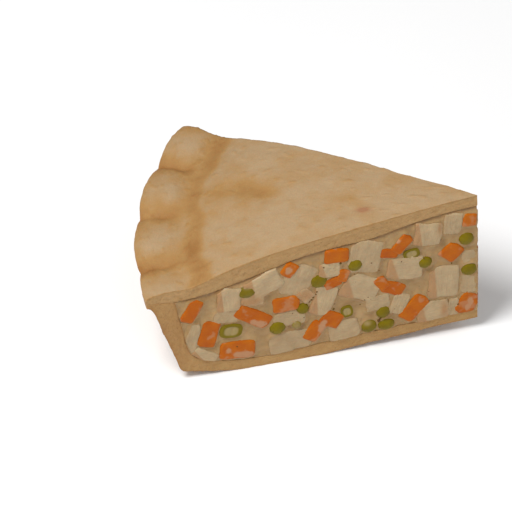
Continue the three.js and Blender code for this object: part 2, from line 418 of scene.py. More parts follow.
crimp = {"Lobes": 27.0, "Phase": math.radians(5.3), "Lobe Start": 105.5 * mm, "Lobe Full": 115 * mm}
crestPower = 0.7  # below 1 the lobes are full and the grooves between them narrow
# how brown each part of the lid is, with painted shade in the grooves between the rim's lobes, and where the
# hollow behind the rim lies, in mm and degrees
lidBrowningAndShade = {
    "plain": 0.1, "valley": 0.48, "groove": 0.68, "rim": 0.08, "edge": 0.12,
    "valleyAt": 103.1, "valleyShift": 2.3, "shiftAngles": (-7, 4), "tipwards": 3.4, "rimwards": 4.2,
    "rimReach": (106, 112), "edgeReach": (121, 125),
}


def spots(places, distance, across):
    total = np.zeros_like(distance)
    for along, side, length, width, strength in places:
        near = ((distance - along * mm) / (length * mm)) ** 2 + ((across - side * mm) / (width * mm)) ** 2
        total += strength * np.exp(-near)
    return total


def lobeCrown(angle):
    return np.abs(np.cos(crimp["Lobes"] / 2 * (angle - crimp["Phase"]))) ** crestPower


def smoothStep(value, low, high):
    share = np.clip((value - low) / (high - low), 0, 1)
    return share * share * (3 - 2 * share)


def lidBrownness(radius, angle, fromTip, side):
    look = lidBrowningAndShade
    wobble = 0.8 * np.sin(angle * 21) + 0.5 * np.sin(angle * 47 + 1)
    shift = look["valleyShift"] * smoothStep(angle, *np.radians(look["shiftAngles"]))
    away = radius / mm - look["valleyAt"] - shift - wobble
    valley = np.where(away < 0, np.exp(-(away / look["tipwards"]) ** 4),
                      np.exp(-(away / look["rimwards"]) ** 2))
    rim = smoothStep(radius / mm, *look["rimReach"])
    # painted shade: the grooves between the rim's lobes are darkened, which leaves their crowns paler
    return (look["plain"] + look["valley"] * valley + look["groove"] * rim * (1 - lobeCrown(angle))
            + look["rim"] * rim + look["edge"] * smoothStep(radius / mm, *look["edgeReach"])
            + spots(lidBrownPlaces, fromTip, side) - spots(lidPalePlaces, fromTip, side))


def lidMesh():
    fractions, faces = boxLattice(crustShape["lidGrid"])
    along, across, up = fractions.T
    low = alongSection(crustShape["lidUnder"], along)
    high = alongSection(crustShape["lidTop"], along)
    place = low + (high - low) * up[:, None]
    bulge = np.where(along == 1, crustShape["edgeRounding"] * mm * 4 * up * (1 - up), 0)
    angle, cut = angleAcross(across), cutSides(across)
    radius = np.maximum(place[:, 0] + bulge, tipTrim)
    places = aroundTip(radius, angle, place[:, 1])
    fromTip, side = tip.x - places[:, 0], places[:, 1]
    return meshFrom("lidBase", places, faces, {
        "up": up, "skin": up, "layer": up, "cut": cut, "cutMask": np.abs(cut),
        "crumbTone": 0.08 + 0.4 * smoothStep(up, 0.82, 1.0) + 0.25 * (1 - smoothStep(up, 0.0, 0.15)),
        "dimple": spots(lidDimples, fromTip, side),
        "browning": lidBrownness(radius, angle, fromTip, side),
        "fleck": spots([lidFleck], fromTip, side) * (up == 1),
    })


def shellMesh():
    fractions, faces = boxLattice(crustShape["shellGrid"])
    along, across, inward = fractions.T
    outer = alongSection(crustShape["shellOuter"], along)
    inner = alongSection(crustShape["shellInner"], along)
    place = outer + (inner - outer) * inward[:, None]
    radius, height = np.maximum(place[:, 0], tipTrim), np.maximum(place[:, 1], 0)
    places = aroundTip(radius, angleAcross(across), height)
    cut, none = cutSides(across), np.zeros_like(along)
    wall = smoothStep(along, 0.5, 0.62)
    toasted = smoothStep(height, 9 * mm, 2 * mm) + smoothStep(height, 30 * mm, 37 * mm)
    return meshFrom("shellBase", places, faces, {
        "up": none, "dimple": none, "fleck": none, "layer": inward, "cut": cut, "cutMask": np.abs(cut),
        "skin": (inward == 0) * smoothStep(height, 0, 0.6 * mm),
        "crumbTone": (0.02 + 0.25 * wall + 0.3 * (1 - smoothStep(inward, 0.0, 0.2))
                      + 0.2 * smoothStep(inward, 0.85, 1.0)),
        "browning": 0.35 + (0.15 + 0.25 * wall + 0.15 * wall * toasted) * (inward == 0),
    })


# noise cells per metre in the crusts' relief
reliefScale = {
    "ragged": 260.0, "broad": 55.0, "lumps": 190.0, "blister": 330.0,
    "wave": 90.0, "strata": 330.0, "crumbs": 620.0,
}


def pastryTree():
    # crimped lobes round the rim, an uneven skin, and flaky layers where the crust is cut
    tree, given, out = startRelief("pastryRelief", Vector=["Tip"], Float=[
        "Half Angle", "Lobes", "Phase", "Lobe Start", "Lobe Full", "Rim Radius", "Rise", "Groove", "Scallop",
        "Skin Relief", "Cut Relief", "Layers", "Dimple Depth", "Seed"])
    position = put(tree, "GeometryNodeInputPosition").outputs[0]
    normal = put(tree, "GeometryNodeInputNormal").outputs[0]
    parts = put(tree, "ShaderNodeSeparateXYZ", {
        0: vectorCalc(tree, "SUBTRACT", position, given["Tip"])}).outputs
    flat = vectorOf(tree, parts[0], parts[1])
    radius = vectorCalc(tree, "LENGTH", flat)
    angle = calc(tree, "ARCTAN2", parts[1], product(tree, parts[0], -1.0))
    halfTurns = product(tree, calc(tree, "SUBTRACT", angle, given["Phase"]),
                        product(tree, given["Lobes"], 0.5))
    crown = calc(tree, "POWER", calc(tree, "ABSOLUTE", calc(tree, "COSINE", halfTurns)), crestPower)
    dip = calc(tree, "SUBTRACT", 1.0, crown)

    start = calc(tree, "MULTIPLY_ADD", dip, 2.5 * mm, given["Lobe Start"])
    share = ramp(tree, radius, start, given["Lobe Full"])
    whichLobe = calc(tree, "ROUND", calc(tree, "DIVIDE", halfTurns, math.pi))
    lobeSize = put(tree, "FunctionNodeRandomValue", {2: 0.75, 3: 1.25, "ID": whichLobe, "Seed": 3},
                   data_type="FLOAT").outputs[1]
    swell = product(tree, crown, lobeSize, calc(tree, "ADD", given["Rise"], given["Groove"]))
    relief = product(tree, share, calc(tree, "SUBTRACT", swell, given["Groove"]))
    dimple = product(tree, readAttribute(tree, "dimple"), given["Dimple Depth"])
    lift = product(tree, readAttribute(tree, "up"), calc(tree, "SUBTRACT", relief, dimple))

    drawShare = ramp(tree, radius, given["Lobe Full"], given["Rim Radius"])
    ragged = product(tree, noiseAt(tree, position, reliefScale["ragged"]), 0.5 * mm)
    drawIn = product(tree, drawShare, calc(tree, "MULTIPLY_ADD", dip, given["Scallop"], ragged), -1.0)
    inwards = scaled(tree, vectorCalc(tree, "NORMALIZE", flat), drawIn)

    skin = readAttribute(tree, "skin")
    shifted = vectorCalc(tree, "ADD", position, vectorOf(tree, given["Seed"]))
    broad = centred(tree, noiseAt(tree, shifted, reliefScale["broad"], 1.0))
    lumps = centred(tree, noiseAt(tree, shifted, reliefScale["lumps"]))
    blister = ramp(tree, noiseAt(tree, shifted, reliefScale["blister"], 1.0), 0.58, 0.74)
    uneven = calc(tree, "MULTIPLY_ADD", broad, 1.6, lumps)
    uneven = calc(tree, "MULTIPLY_ADD", blister, 0.45, uneven)
    skinOffset = scaled(tree, normal, product(tree, uneven, skin, given["Skin Relief"]))

    cut = readAttribute(tree, "cut")
    onCut = calc(tree, "ABSOLUTE", cut)
    layerAt = product(tree, readAttribute(tree, "layer"), given["Layers"])
    wave = product(tree, noiseAt(tree, shifted, reliefScale["wave"]), 4.0)
    strata = vectorOf(tree, product(tree, radius, reliefScale["strata"]), calc(tree, "ADD", layerAt, wave),
                      calc(tree, "MULTIPLY_ADD", cut, 7.0, given["Seed"]))
    flakes = ramp(tree, noiseAt(tree, strata, 1.0, 3.0, 0.65), 0.42, 0.72)
    crumbs = ramp(tree, noiseAt(tree, shifted, reliefScale["crumbs"], 3.0, 0.6), 0.42, 0.7)
    worn = product(tree, calc(tree, "ADD", crumbs, flakes), 0.6)
    cutMove = product(tree, worn, given["Cut Relief"], onCut, -1.0)
    cutOffset = scaled(tree, outOfCutNodes(tree, given["Half Angle"], cut), cutMove)

    offset = vectorOf(tree, z=lift)
    for part in (inwards, skinOffset, cutOffset):
        offset = vectorCalc(tree, "ADD", offset, part)
    stored = storeAttribute(tree, given["Geometry"], "flakes", product(tree, worn, onCut))
    stored = storeAttribute(tree, stored, "blister", product(tree, blister, skin))
    return endRelief(tree, given, out, moveBy(tree, stored, offset))


crustSurface = surface(0.06, 1.5, 0.35)
fleckColour = linear(152, 108, 74)
lidLook = {
    "skin": {"Pale": linear(166, 138, 102), "Golden": linear(160, 121, 70), "Brown": linear(144, 99, 48),
             "Mottle": 0.36, "Pits": 0.25},
    "crumb": {"Pale": linear(168, 133, 87), "Golden": linear(155, 119, 72), "Brown": linear(144, 99, 48),
              "Mottle": 0.25, "Pits": 1.0},
    "relief": {"Rise": 1.1 * mm, "Groove": 1.9 * mm, "Scallop": 1.5 * mm, "Skin Relief": 0.7 * mm,
               "Cut Relief": 0.3 * mm, "Layers": 6.0, "Dimple Depth": 1.0 * mm, "Seed": 2.0},
}
shellLook = {
    "skin": {"Pale": linear(170, 136, 92), "Golden": linear(162, 122, 74), "Brown": linear(146, 102, 54),
             "Mottle": 0.6, "Pits": 0.8},
    "crumb": {"Pale": linear(169, 133, 82), "Golden": linear(154, 114, 66), "Brown": linear(146, 102, 54),
              "Mottle": 0.25, "Pits": 1.0},
    "relief": {"Rise": 0.0, "Groove": 0.0, "Scallop": 1.5 * mm, "Skin Relief": 0.65 * mm,
               "Cut Relief": 0.3 * mm, "Layers": 4.0, "Dimple Depth": 0.0, "Seed": 9.0},
}


def pastryMaterial(name, look):
    material, tree, shader = startMaterial(name, crustSurface)
    onCut = attributeValue(tree, "cutMask")
    # blisters and flakes are browner than what lies round them
    browning = calc(tree, "MULTIPLY_ADD", attributeValue(tree, "blister"), 0.14,
                    attributeValue(tree, "browning"))
    crumbing = calc(tree, "MULTIPLY_ADD", attributeValue(tree, "flakes"), 0.3,
                    attributeValue(tree, "crumbTone"))
    tone = put(tree, "ShaderNodeGroup", {"Browning": browning, **look["skin"]}, node_tree=pastryTone)
    crumb = put(tree, "ShaderNodeGroup", {"Browning": crumbing, **look["crumb"]}, node_tree=pastryTone)
    colour = mixColours(tree, onCut, tone.outputs["Color"], crumb.outputs["Color"])
    colour = mixColours(tree, attributeValue(tree, "fleck"), colour, fleckColour)
    rougher = calc(tree, "SUBTRACT", crumb.outputs["Height"], tone.outputs["Height"])
    height = calc(tree, "MULTIPLY_ADD", rougher, onCut, tone.outputs["Height"])
    finishMaterial(tree, shader, colour, tone, (0.35, 0.6), height)
    return material


def buildCrust(name, mesh, look, tree):
    piece = bakeTree(addPiece(name, mesh), tree, {
        "Tip": tip, "Half Angle": halfAngle, "Rim Radius": rimRadius, **crimp, **look["relief"],
        "Material": pastryMaterial(name + "Pastry", look)})
    softenEdges(piece, 2)
    return piece


crustTree = pastryTree()
topCrust = buildCrust("topCrust", lidMesh(), lidLook, crustTree)
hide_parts("top_crust")
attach(topCrust, "root")
print("top crust done")
bottomCrust = buildCrust("bottomCrust", shellMesh(), shellLook, crustTree)
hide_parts("bottom_crust")
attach(bottomCrust, "root")
print("bottom crust done")

# the pieces in the filling: radius, height, length, width, tilt in degrees on the front cut

carrotPieces = [
    (107.3, 32.8, 11, 5.8, 63), (100.9, 20.2, 12.8, 7.2, 76), (90.2, 10.4, 13.6, 8.6, -6),
    (84.3, 25.1, 15.5, 6.8, -37), (72, 28.5, 10.2, 7.2, 2), (70.8, 44.8, 6.6, 5.4, 55),
    (53, 47.6, 9.4, 6.5, -4), (50.6, 37.6, 6, 4.4, 72), (54.6, 34.8, 6.8, 4.8, 18),
    (55, 17.2, 8.4, 7.2, -32), (61.3, 12.9, 9.6, 6.4, 58), (28.5, 47.8, 9, 5.2, 52),
    (33.2, 44.4, 6.8, 4.6, -12), (36.2, 30.6, 6.8, 4.6, -58), (31.7, 27, 9, 6, -28),
    (24, 15.7, 12.5, 7, 52), (10, 39.8, 7.8, 7.6, 45), (3.2, 54, 5.4, 6.2, -5),
    (4, 13.2, 10.4, 8, 62),
]
peaPieces = [
    (86.7, 37.6, 7.6, 6, -4, 0), (92.6, 20.1, 8, 6.2, -8, 1), (75.1, 17.5, 5.9, 5.9, 0, 0),
    (68.1, 17.6, 3.2, 3, 0, 0), (65.8, 24.8, 4.5, 5.3, 20, 0), (59.7, 36.7, 6.4, 6.4, 0, 0),
    (46.1, 41.6, 5.1, 5.4, 0, 0), (49.2, 19.7, 4.2, 5.2, 10, 1), (35.6, 16.2, 5.2, 5.6, 0, 0),
    (40.9, 10.4, 5.8, 6, 0, 0), (34.5, 9.9, 6, 5, 0, 0), (25, 42.3, 5.8, 4.3, 10, 1),
    (19.9, 36.8, 5, 5, 0, 0), (4.4, 44.9, 5.4, 5.8, 0, 0), (3.3, 29.8, 6.4, 6.2, 0, 0),
]
chickenPieces = [
    (93.4, 35.2, 11, 9, 86), (94.6, 27.4, 9.5, 6, -6), (107, 19.4, 13.5, 4.6, 80),
    (102.4, 10.4, 10, 4.8, -36), (80.6, 39.6, 14.5, 9.4, 26), (67.6, 39, 15, 11.6, 66),
    (71, 21.2, 12.5, 7, 0), (70.2, 9.9, 16.5, 9.6, 6), (55.6, 41.4, 8, 6.8, 0),
    (58, 27, 13.4, 8.6, 74), (42.4, 44.6, 15, 12.6, 78), (44, 30.2, 14.5, 11.4, -28),
    (50.3, 10.8, 11.5, 9.6, 12), (27.4, 35.8, 13.4, 10.5, -4), (18.8, 50.2, 10.6, 10.4, 82),
    (13, 26, 15, 11.4, 87), (3.2, 22.8, 9, 7, 85), (17, 12.5, 12.4, 9.6, 8),
    (9.4, 53.2, 9.6, 7, 86), (2.8, 36, 6.8, 6.6, 0), (29.6, 19, 9.6, 6.4, 72),
    (37.6, 21.2, 9, 7, 8), (9.5, 12.9, 8, 4.2, 85), (84.6, 33.2, 8.6, 4.8, -6),
    (64.7, 31.2, 6.4, 5.4, -50),
]
sauceShape = {"grid": (340, 4, 120), "sunk": 0.2, "wallFootRow": 8, "wallTopRow": 13, "roofEndRow": 11}
pieceRules = {
    "proud": {"carrot": 0.9, "chicken": 0.8, "pea": 1.5},
    "leastShare": {"carrot": 0.7, "chicken": 0.55, "pea": 0.86},
    "grown": {"carrot": 1.02, "chicken": 1.06, "pea": 1.12},
    "depth": 6, "peaDepth": 0.7, "openedProud": 0.5, "openedGrown": 1.06,
    "dealReach": 9, "sauceSetback": 0.4, "crustGap": 0.1, "frontSeed": 48860, "backSeed": 327,
    "leastTint": 0.3, "searedTurn": 0.8, "middleTint": 0.65,
}
# sauce left on carrots and peas: radius, height, half length, half width, strength
coatedPlaces = [
    (89.4, 8.2, 2.4, 1.3, 1.8), (86.2, 7.4, 1.8, 1.3, 1.8), (93.6, 10.9, 0.9, 1.2, 1.4),
    (84.3, 22.8, 1.5, 1.3, 1.3), (81.2, 21, 2, 1.4, 1.7), (71.2, 45, 1.2, 1.8, 1.6),
    (58.7, 13.8, 1.4, 2.2, 1.7), (57.8, 16.8, 1.2, 1, 1), (4.1, 11.6, 1, 1.5, 1.8),
    (3.1, 14.6, 1, 1.6, 1.8), (30.4, 50, 1.6, 1, 1.2), (68.1, 17.6, 2, 2, 0.75),
    (41.7, 12.4, 1.4, 0.9, 1), (86.2, 40.2, 1.6, 0.8, 1),
]
# chicken browned all over or along a side, listed in the same way
searedPlaces = [
    (84.6, 33.2, 4.4, 2.6, 1.2), (64.7, 31.2, 3.4, 3, 1.2), (14.4, 52.6, 0.9, 3.4, 1.2),
    (23.3, 54.4, 1.2, 1.2, 1), (12.8, 12.6, 1.5, 4, 1.1), (46.4, 24.2, 3, 1.1, 0.8),
    (33, 35.2, 1.6, 5, 0.8),
]


def seededDraws(seed):
    state = seed
    while True:
        state = (state * 1664525 + 1013904223) % 2 ** 32
        yield state / 2 ** 32


def allPieces():
    blocks = [("carrot", *piece, 0) for piece in carrotPieces]
    blocks += [("chicken", *piece, 0) for piece in chickenPieces]
    return blocks + [("pea", *piece) for piece in peaPieces]


def dealAgain(pieces, draw):
    # the back cut has the same pieces, each in the place of one near its own size
    places = sorted(pieces, key=lambda piece: -piece[3] * piece[4])
    dealt = list(places)
    for i in range(len(dealt)):
        other = min(len(dealt) - 1, i + int(next(draw) * pieceRules["dealReach"]))
        dealt[i], dealt[other] = dealt[other], dealt[i]
    return [(piece[0], place[1], place[2], piece[3], piece[4], place[5], piece[6])
            for place, piece in zip(places, dealt)]


def settledPieces():
    settled = []
    for side in (-1, 1):
        draw = seededDraws(pieceRules["backSeed"] if side > 0 else pieceRules["frontSeed"])
        pieces = dealAgain(allPieces(), draw) if side > 0 else allPieces()
        for kind, radius, height, length, width, tilt, opened in pieces:
            chance = next(draw)
            least, leastTint = pieceRules["leastShare"][kind], pieceRules["leastTint"]
            proud = pieceRules["proud"][kind] * (least + (1 - least) * chance)
            tint = leastTint + (1 - leastTint) * chance
            grown = pieceRules["openedGrown"] if opened else pieceRules["grown"][kind]
            depth = (length + width) / 2 * pieceRules["peaDepth"] if kind == "pea" else pieceRules["depth"]
            size = (length * grown, width * grown, depth)
            sunk = pieceRules["openedProud"] if opened else proud - depth / 2
            outwards, upright = outOfCut(side), Vector((0, 0, 1))
            facing = Matrix((upright.cross(outwards), upright, outwards)).transposed()
            turn = facing @ Matrix.Rotation(-side * math.radians(tilt), 3, "Z")
            place = Vector(aroundTip(radius * mm, side * halfAngle, height * mm)) + outwards * sunk * mm
            rimwards = math.pi * (side < 0) + side * math.radians(tilt)
            settled.append({
                "kind": kind, "place": place, "turn": tuple(turn.to_euler()), "tint": tint, "opened": opened,
                "size": tuple(value * mm / 2 for value in size), "side": side,
                "seared": rimwards + pieceRules["searedTurn"] * (tint - pieceRules["middleTint"])})
    return settled


blockEdgePower = 9  # the higher it is, the sharper is the edge of a block's front
slantDepth = 0.9
peaShape = {
    "grid": (12, 12, 12), "uneven": 0.018, "openReach": (0.52, 0.7), "squareness": 3,
    "openHeight": 0.12, "hollow": 0.08, "seam": 0.12, "seamWidth": 0.09,
}


def blockMesh(name, counts, power, planes, dents, seed):
    # a block cut flat in front, its outline cut back by a few slanting lines and its rim rounded
    fractions, faces = boxLattice(counts)
    place = fractions * 2 - 1
    planar = (np.abs(place[:, :2]) ** power).sum(axis=1) ** (1 / power)
    spread = (planar ** blockEdgePower + np.abs(place[:, 2]) ** blockEdgePower) ** (1 / blockEdgePower)
    place = place / spread[:, None]
    for direction, limit in planes:
        facing = np.array([*direction, 0], float) / np.linalg.norm(direction)
        beyond = np.maximum(place @ facing - limit, 0)
        place = place - facing * (beyond * slantDepth)[:, None]
    around = np.arctan2(place[:, 1], place[:, 0])
    wave = np.sin(3 * around + seed) + 0.7 * np.sin(5 * around + 2 * seed)
    place[:, :2] *= (1 + dents * wave)[:, None]
    return meshFrom(name, place, faces, dict(zip(("localX", "localY", "localZ"), place.T)))


def blockMeshes(name, grid, cuts):
    return [blockMesh(name + str(i), grid, *cut, i + 1) for i, cut in enumerate(cuts)]


def peaMesh(name, opened):
    look = peaShape
    fractions, faces = boxLattice(look["grid"])
    place = fractions * 2 - 1
    place = place / np.linalg.norm(place, axis=1)[:, None]
    wave = np.sin(place[:, 0] * 6 + 1) * np.sin(place[:, 1] * 7) + 0.6 * np.sin(place[:, 2] * 9 + 2)
    place = place * (1 + look["uneven"] * wave)[:, None]
    inside = np.zeros(len(place))
    if opened:
        rim = np.linalg.norm(place[:, :2], axis=1)
        flat = place[:, 2] > 0
        inside = np.where(flat, 1 - smoothStep(rim, *look["openReach"]), 0)
        power = look["squareness"]
        squared = (np.abs(place[:, :2]) ** power).sum(axis=1) ** (1 / power)
        place[:, :2] *= (rim / np.maximum(squared, 0.001))[:, None]
        hollow = look["hollow"] + look["seam"] * np.exp(-(place[:, 0] / look["seamWidth"]) ** 2)
        place[:, 2] = np.where(flat, look["openHeight"] * place[:, 2] - inside * hollow, place[:, 2])
    return meshFrom(name, place, faces, {
        "localX": place[:, 0], "localY": place[:, 1], "localZ": place[:, 2], "inside": inside})


def piecesTree():
    # sets one of a few shapes on each point and gives every one its own unevenness
    tree, given, out = startRelief(
        "settlePieces", Collection=["Shapes"], Float=["Dents", "Dent Size", "Fibres", "Seed"])
    shapes = put(tree, "GeometryNodeCollectionInfo", {
        "Collection": given["Shapes"], "Separate Children": True, "Reset Children": True}).outputs[0]
    turned = put(tree, "FunctionNodeEulerToRotation", {
        0: readAttribute(tree, "turn", "FLOAT_VECTOR")}).outputs[0]
    placed = put(tree, "GeometryNodeInstanceOnPoints", {
        "Points": given["Geometry"], "Instance": shapes, "Pick Instance": True,
        "Instance Index": readAttribute(tree, "shape", "INT"), "Rotation": turned,
        "Scale": readAttribute(tree, "size", "FLOAT_VECTOR")}).outputs[0]
    real = put(tree, "GeometryNodeRealizeInstances", {0: placed}).outputs[0]
    position = put(tree, "GeometryNodeInputPosition").outputs[0]
    normal = put(tree, "GeometryNodeInputNormal").outputs[0]
    place = vectorCalc(tree, "ADD", position, vectorOf(tree, given["Seed"]))
    dents = centred(tree, noiseAt(tree, place, calc(tree, "DIVIDE", 1.0, given["Dent Size"])))
    # fibres run along each piece, and the tint sets each one's pattern apart
    strand = vectorOf(
        tree, product(tree, readAttribute(tree, "localX"), 1.2),
        product(tree, readAttribute(tree, "localY"), 9.0),
        calc(tree, "MULTIPLY_ADD", readAttribute(tree, "tint"), 40.0,
             product(tree, readAttribute(tree, "localZ"), 3.0)))
    fibres = centred(tree, noiseAt(tree, strand, 1.0))
    move = calc(tree, "ADD", product(tree, dents, given["Dents"]), product(tree, fibres, given["Fibres"]))
    return endRelief(tree, given, out, moveBy(tree, real, scaled(tree, normal, move)))


def pointMesh(name, settled, shapeCount):
    mesh = bpy.data.meshes.new(name)
    mesh.from_pydata([piece["place"] for piece in settled], [], [])
    for label in ("turn", "size"):
        setAttribute(mesh, label, [piece[label] for piece in settled], "FLOAT_VECTOR", "vector")
    for label in ("tint", "side", "seared"):
        setAttribute(mesh, label, [piece[label] for piece in settled])
    setAttribute(mesh, "shape", [piece["opened"] if piece["kind"] == "pea" else i % shapeCount
                                 for i, piece in enumerate(settled)], "INT")
    return mesh


def keepBetweenCrusts(places):
    # what would reach into the wall, the floor or the lid lies flat against it instead
    inner, roof = np.array(crustShape["shellInner"]) * mm, np.array(crustShape["lidUnder"]) * mm
    foot, top = sauceShape["wallFootRow"] - 1, sauceShape["wallTopRow"]
    gap = pieceRules["crustGap"] * mm
    radius = np.hypot(tip.x - places[:, 0], places[:, 1])
    wall = np.interp(places[:, 2], inner[foot:top, 1], inner[foot:top, 0]) - gap
    share = np.minimum(1, wall / np.maximum(radius, tipTrim))
    places[:, 0] = tip.x - (tip.x - places[:, 0]) * share
    places[:, 1] *= share
    floorHeight = np.interp(radius * share, inner[:foot + 1, 0], inner[:foot + 1, 1])
    roofHeight = np.interp(radius * share, roof[:, 0], roof[:, 1])
    places[:, 2] = np.clip(places[:, 2], floorHeight + gap, roofHeight - gap)


def keepInside(piece):
    # nothing stands past the point of the slice, and near it each side keeps to its own half
    mesh = piece.data
    places = vertexPlaces(mesh)
    beforeTip, fromMiddle = tip.x - 0.05 * mm, 0.02 * mm
    if "side" in mesh.attributes:
        keepBetweenCrusts(places)
    places[:, 0] = np.minimum(places[:, 0], beforeTip)
    if "side" in mesh.attributes:
        side = np.zeros(len(mesh.vertices), np.float32)
        mesh.attributes["side"].data.foreach_get("value", side)
        places[:, 1] = side * np.maximum(side * places[:, 1], fromMiddle)
    mesh.vertices.foreach_set("co", places.ravel())
    mesh.update()


def spotPiece(piece, spotPlaces):
    places = vertexPlaces(piece.data)
    radius = np.hypot(tip.x - places[:, 0], places[:, 1])
    setAttribute(piece.data, "spotted", np.minimum(spots(spotPlaces, radius, places[:, 2]), 1))


def buildPieces(name, kind, shapes, look, material, tree):
    shelf = bpy.data.collections.new(name + "Shapes")
    bpy.context.scene.collection.children.link(shelf)
    for mesh in shapes:
        shelf.objects.link(bpy.data.objects.new(mesh.name, mesh))
    settled = [piece for piece in settledPieces() if piece["kind"] == kind]
    piece = addPiece(name, pointMesh(name + "Points", settled, len(shapes)))
    bakeTree(piece, tree, {**look["relief"], "Shapes": shelf, "Material": material})
    for shape in list(shelf.objects):
        bpy.data.objects.remove(shape)
    bpy.data.collections.remove(shelf)
    piece.data.shade_smooth()
    keepInside(piece)
    spotPiece(piece, searedPlaces if kind == "chicken" else coatedPlaces)
    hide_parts("filling")
    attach(piece, "root")
    print(name, "done")
    return piece


# looks: tint holds how much a piece's own tint tells and the least, bump its depth in mm and strength
carrotLook = {
    "surface": surface(0.08, 0.6, 0.12),
    "tone": {"Dark": linear(160, 74, 0), "Light": linear(176, 94, 4), "Patch Size": 4.0,
             "Wet": 0.32, "Dry": 0.5},
    "tint": (0.4, 0.25), "bump": (0.2, 0.5), "coat": linear(170, 128, 94), "coatShare": 0.9,
    "smear": 0.5, "smearScale": 230.0, "grain": 1.2, "grainScale": 600.0,
    "relief": {"Dents": 0.4 * mm, "Dent Size": 4 * mm, "Fibres": 0.0, "Seed": 1.0},
}
chickenLook = {
    "surface": surface(0.12, 0.8, 0.3),
    "tone": {"Dark": linear(153, 128, 92), "Light": linear(175, 151, 115), "Patch Size": 5.0,
             "Wet": 0.42, "Dry": 0.62},
    "tint": (0.5, 0.3), "bump": (0.3, 0.6), "strand": linear(150, 123, 85), "strandShare": 0.24,
    "strandHeight": -0.8, "seared": linear(159, 119, 77), "searedShare": 0.9,
    "relief": {"Dents": 1.1 * mm, "Dent Size": 4 * mm, "Fibres": 0.45 * mm, "Seed": 2.0},
}
peaLook = {
    "surface": surface(0.05, 0.5, 0.12),
    "tone": {"Dark": linear(100, 84, 0), "Light": linear(118, 102, 0), "Patch Size": 3.0,
             "Wet": 0.28, "Dry": 0.45},
    "tint": (0.4, 0.25), "bump": (0.15, 0.4), "inside": linear(150, 130, 84),
    "coat": linear(150, 128, 90), "coatShare": 0.8,
    "relief": {"Dents": 0.15 * mm, "Dent Size": 2 * mm, "Fibres": 0.0, "Seed": 3.0},
}
# the blocks' shapes: roundness, slanting cuts as direction and distance, dents
carrotCuts = [
    (7, [((1, 0.4), 1.0)], 0.015), (9, [((-1, 0.6), 1.05), ((1, 1), 1.2)], 0.02),
    (6, [((0.8, -1), 1.15)], 0.015), (8, [((1, -0.3), 1.0), ((-1, -1), 1.2)], 0.02),
]
chickenCuts = [
    (8, [((1, 0.7), 1.05), ((-0.6, 1), 1.1)], 0.02), (10, [((-1, 0.8), 1.0), ((1, 1), 1.25)], 0.02),
    (7, [((1, -0.9), 1.05), ((0.2, 1), 0.95)], 0.025), (9, [((-0.8, -1), 1.05)], 0.02),
    (10, [((-1, 0.3), 1.0), ((0.6, -1), 1.15)], 0.02),
]


def startMoist(name, look):
    material, tree, shader = startMaterial(name, look["surface"])
    tone = put(tree, "ShaderNodeGroup", look["tone"], node_tree=moistTone)
    if "tint" in look:
        feed(tree, tone, {"Tint": calc(tree, "MULTIPLY_ADD", attributeValue(tree, "tint"), *look["tint"])})
    return material, tree, shader, tone


def carrotMaterial(look):
    material, tree, shader, tone = startMoist("carrotFlesh", look)
    place = put(tree, "ShaderNodeTexCoord").outputs["Object"]
    smeared = product(tree, ramp(tree, noiseAt(tree, place, look["smearScale"]), 0.56, 0.68), look["smear"])
    grain = centred(tree, noiseAt(tree, place, look["grainScale"]))
    streaked = calc(tree, "MULTIPLY_ADD", grain, look["grain"], attributeValue(tree, "spotted"))
    coated = product(tree, ramp(tree, streaked, 0.2, 0.85), look["coatShare"])
    coated = calc(tree, "MAXIMUM", smeared, coated)
    colour = mixColours(tree, coated, tone.outputs["Color"], look["coat"])
    finishMaterial(tree, shader, colour, tone, look["bump"])
    return material


def chickenMaterial(look):
    material, tree, shader, tone = startMoist("chickenFlesh", look)
    # a browned side on some of the cubes
    facing = attributeValue(tree, "seared")
    localX, localY, tint = (attributeValue(tree, name) for name in ("localX", "localY", "tint"))
    towards = calc(tree, "ADD", product(tree, localX, calc(tree, "COSINE", facing)),
                   product(tree, localY, calc(tree, "SINE", facing)))
    seared = product(tree, ramp(tree, towards, 0.42, 0.55), ramp(tree, tint, 0.6, 0.78, 0.12, 1.0))
    seared = calc(tree, "MAXIMUM", seared, attributeValue(tree, "spotted"))
    # the grain of the meat runs along each cube
    strand = vectorOf(tree, product(tree, localX, 1.6), product(tree, localY, 11.0),
                      product(tree, tint, 40.0))
    strands = noiseAt(tree, strand, 1.0, 3.0, 0.6)
    lined = product(tree, ramp(tree, strands, 0.48, 0.66), look["strandShare"])
    colour = mixColours(tree, lined, tone.outputs["Color"], look["strand"])
    colour = mixColours(tree, product(tree, seared, look["searedShare"]), colour, look["seared"])
    height = calc(tree, "MULTIPLY_ADD", strands, look["strandHeight"], tone.outputs["Height"])
    finishMaterial(tree, shader, colour, tone, look["bump"], height)
    return material


def peaMaterial(look):
    material, tree, shader, tone = startMoist("peaSkin", look)
    colour = mixColours(tree, attributeValue(tree, "inside"), tone.outputs["Color"], look["inside"])
    coated = product(tree, attributeValue(tree, "spotted"), look["coatShare"])
    finishMaterial(tree, shader, mixColours(tree, coated, colour, look["coat"]), tone, look["bump"])
    return material


settleTree = piecesTree()
carrots = buildPieces("carrots", "carrot", blockMeshes("carrotShape", (20, 14, 8), carrotCuts),
                      carrotLook, carrotMaterial(carrotLook), settleTree)
chicken = buildPieces("chicken", "chicken", blockMeshes("chickenShape", (28, 24, 4), chickenCuts),
                      chickenLook, chickenMaterial(chickenLook), settleTree)
peas = buildPieces("peas", "pea", [peaMesh("peaShape0", False), peaMesh("peaShape1", True)],
                   peaLook, peaMaterial(peaLook), settleTree)

# the sauce round them

